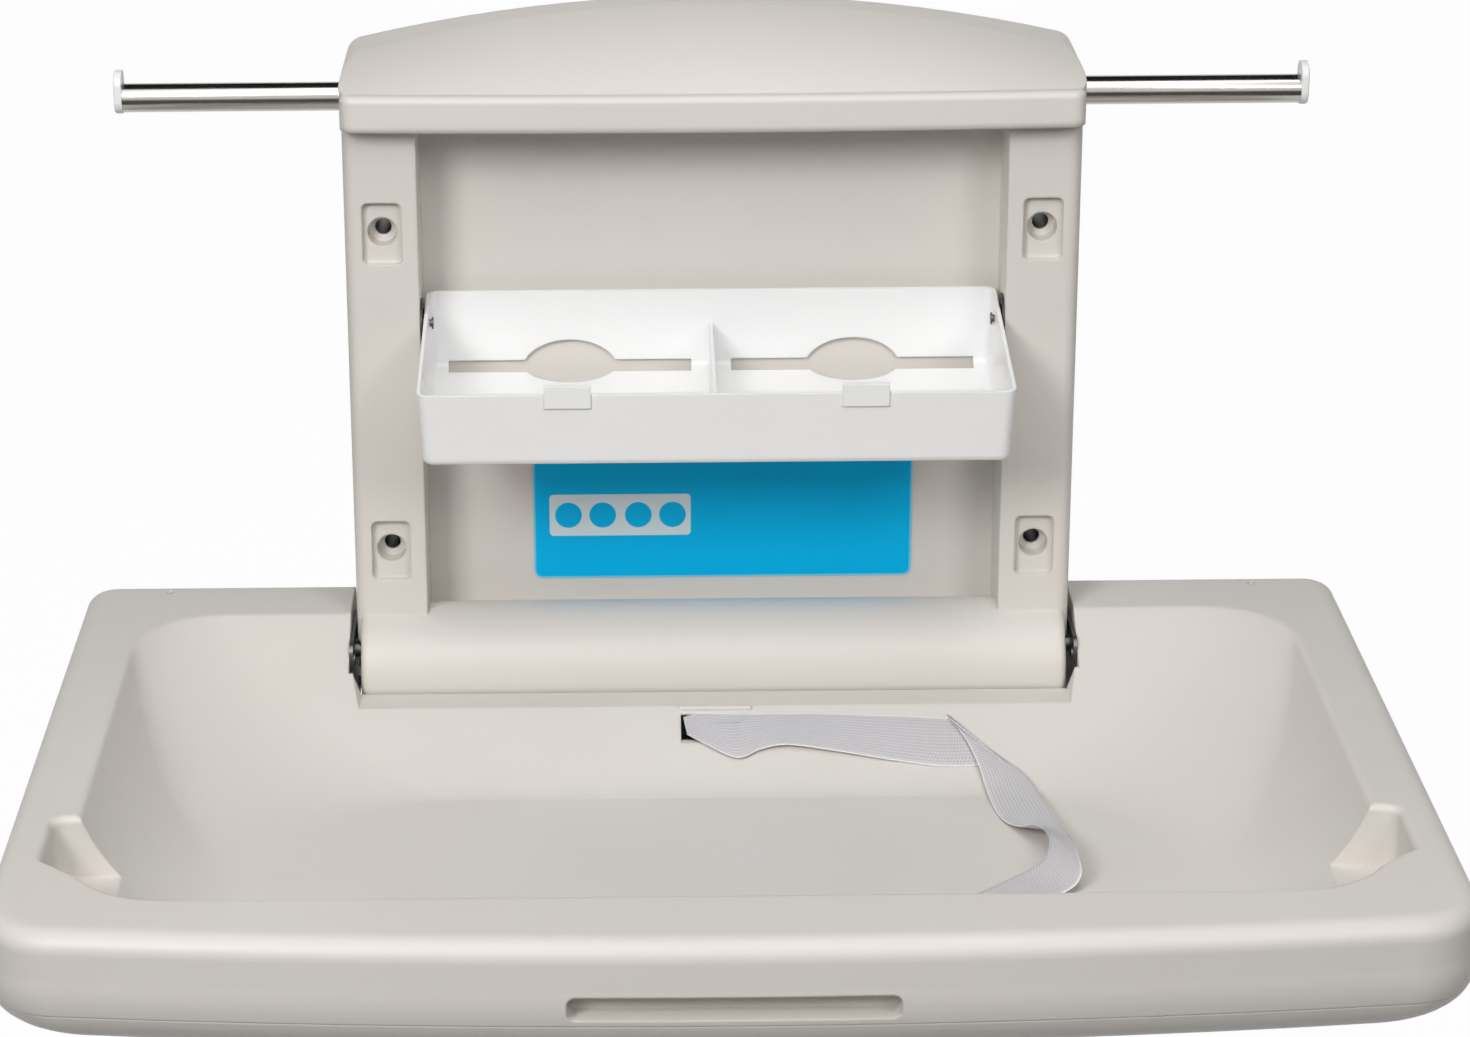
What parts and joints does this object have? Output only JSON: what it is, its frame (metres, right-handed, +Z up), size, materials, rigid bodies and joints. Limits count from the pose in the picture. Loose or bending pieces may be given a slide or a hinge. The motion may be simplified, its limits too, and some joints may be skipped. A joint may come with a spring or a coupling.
{
  "type": "wall-mounted changing table",
  "caption": "Fold-down wall changing table with a moulded bed, safety strap, tip-up liner tray and a cross hanger rail.",
  "frame": {"origin": "centre of the four wall bolts, on the wall's face", "axes": "+X to the right along the wall, +Y into the wall, +Z up"},
  "size_m": [0.8654, 0.5891, 0.5005],
  "materials": {
    "body_plastic": "fine satin",
    "white_plastic": "gloss",
    "bright_steel": "polished",
    "dark_steel": "satin",
    "plated_steel": "zinc plated",
    "bush_bronze": "plain",
    "damper_plastic": "plain",
    "label_blue": "satin",
    "webbing": "woven",
    "buckle_plastic": "plain"
  },
  "bodies": {
    "wall_unit": {"front_moulding": "body_plastic", "back_cover": "body_plastic", "cover_screws": "plated_steel", "steel_plate": "plated_steel", "mounting_sleeves": "bright_steel", "rail_tube": "bright_steel", "rail_cap_left": "white_plastic", "rail_cap_right": "white_plastic", "rail_saddles": "plated_steel", "bearing_bracket_left": "plated_steel", "bearing_bracket_right": "plated_steel", "hinge_bush_left": "bush_bronze", "hinge_bush_right": "bush_bronze", "damper_left": "damper_plastic", "damper_right": "damper_plastic", "damper_screws": "plated_steel", "stop_blocks": "plated_steel", "label_plate": "label_blue", "tray_bracket_left": "dark_steel", "tray_bracket_right": "dark_steel", "tray_bracket_screws": "dark_steel"},
    "bed": {"bed_top_shell": "body_plastic", "bed_bottom_shell": "body_plastic", "bed_screws": "plated_steel", "bed_frame": "plated_steel", "hinge_shaft": "bright_steel", "hinge_plate_left": "bright_steel", "hinge_plate_right": "bright_steel", "hinge_plate_screws": "bright_steel", "damper_rotor_left": "damper_plastic", "damper_rotor_right": "damper_plastic", "stop_dogs": "plated_steel", "strap_anchor": "plated_steel", "strap": "webbing", "buckle_plug": "buckle_plastic", "front_anchor": "plated_steel", "front_strap": "webbing", "buckle_socket": "buckle_plastic"},
    "liner_tray": {"liner_tray": "white_plastic", "tray_pin_left": "bright_steel", "tray_pin_right": "bright_steel"}
  },
  "joints": [
    {"name": "bed_fold", "type": "hinge", "parent": "wall_unit", "child": "bed", "pos_m": [0, -0.074, -0.187], "axis": [-1, 0, 0], "range_deg": [0, 90]},
    {"name": "liner_tray_fold", "type": "hinge", "parent": "wall_unit", "child": "liner_tray", "pos_m": [0, -0.06702, 0.0446], "axis": [-1, 0, 0], "range_deg": [0, 97.5]}
  ],
  "couplings": [
    {"joint": "liner_tray_fold", "follows": "bed_fold", "ratio": 1.0833}
  ]
}
